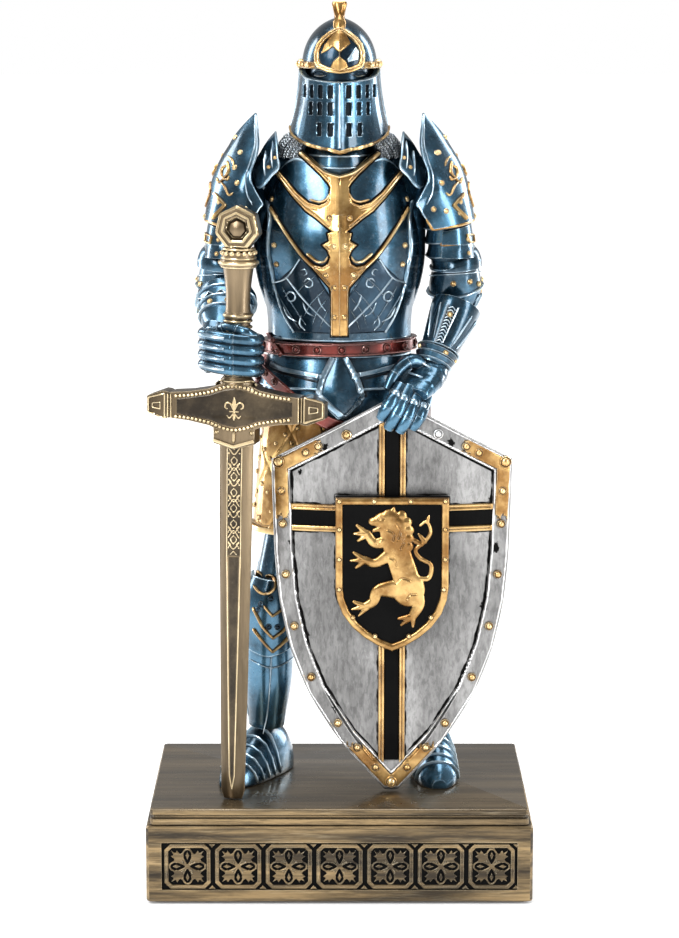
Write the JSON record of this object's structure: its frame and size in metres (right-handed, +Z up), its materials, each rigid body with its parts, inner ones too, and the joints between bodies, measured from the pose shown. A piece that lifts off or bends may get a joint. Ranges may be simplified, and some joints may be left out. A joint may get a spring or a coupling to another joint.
{
  "type": "knight statuette with sword pen",
  "caption": "Armoured knight statuette on an oblong plinth, with a heater shield and an upright sword whose upper hilt draws out as a pen.",
  "frame": {"origin": "centre of the plinth's underside, under its felt pad", "axes": "+Z up, the knight faces -Y, and the knight's right hand with the sword is on -X"},
  "size_m": [0.139, 0.093, 0.3207],
  "materials": {
    "plinth_bronze": "antique bronze paint on resin, brushed along the plinth",
    "plinth_underside": "matt black board",
    "felt": "black felt",
    "screw_steel": "zinc plated",
    "armour_blue": "metallic blue paint with pale worn edges and black wash",
    "gilt_trim": "antique gold paint with brown wash",
    "mail_dark": "dark metallic paint",
    "belt_red": "metallic red-brown paint",
    "antique_brass": "brushed antique brass",
    "pen_steel": "bright turned steel",
    "shield_silver": "antique silver paint with black brush strokes",
    "black_enamel": "gloss black enamel"
  },
  "bodies": {
    "figure": {"plinth_block": "plinth_bronze", "plinth_top": "plinth_bronze", "frieze_front": "plinth_bronze", "frieze_back": "plinth_bronze", "frieze_right": "plinth_bronze", "frieze_left": "plinth_bronze", "bottom_plate": "plinth_underside", "felt_pad": "felt", "foot_screw_right": "screw_steel", "foot_screw_left": "screw_steel", "leg_right": "armour_blue", "leg_left": "armour_blue", "knee_plate_right": "armour_blue", "knee_plate_left": "armour_blue", "sabaton_right": "armour_blue", "sabaton_left": "armour_blue", "fauld_lower": "armour_blue", "fauld_upper": "armour_blue", "fauld_point": "armour_blue", "breastplate": "armour_blue", "backplate": "armour_blue", "body_core": "armour_blue", "shoulder_strap_plate_right": "armour_blue", "shoulder_strap_plate_left": "armour_blue", "pauldron_right": "armour_blue", "pauldron_left": "armour_blue", "arm_lames_right": "armour_blue", "arm_lames_left": "armour_blue", "upper_arm_right": "armour_blue", "upper_arm_left": "armour_blue", "couter_right": "armour_blue", "couter_left": "armour_blue", "vambrace_right": "armour_blue", "vambrace_left": "armour_blue", "hand_right": "armour_blue", "hand_left": "armour_blue", "helmet_skull": "armour_blue", "visor": "armour_blue", "helmet_neck_guard": "armour_blue", "skirt": "gilt_trim", "breast_overlay": "gilt_trim", "brow_plate": "gilt_trim", "crest_finial": "gilt_trim", "heraldic_beast": "gilt_trim", "mail_collar": "mail_dark", "neck_and_head_core": "mail_dark", "waist_belt": "belt_red", "sword_belt": "belt_red", "blade": "antique_brass", "crossguard": "antique_brass", "sword_grip": "antique_brass", "shield_board": "shield_silver", "shield_rim": "shield_silver", "shield_cross": "black_enamel", "escutcheon": "black_enamel"},
    "pen": {"pen_barrel": "antique_brass", "pommel": "antique_brass", "pen_nose": "pen_steel", "ink_refill": "pen_steel"}
  },
  "joints": [
    {"name": "pen_lift", "type": "slide", "parent": "figure", "child": "pen", "axis": [0.0162, 0, 0.9999], "range_m": [0, 0.09]}
  ]
}
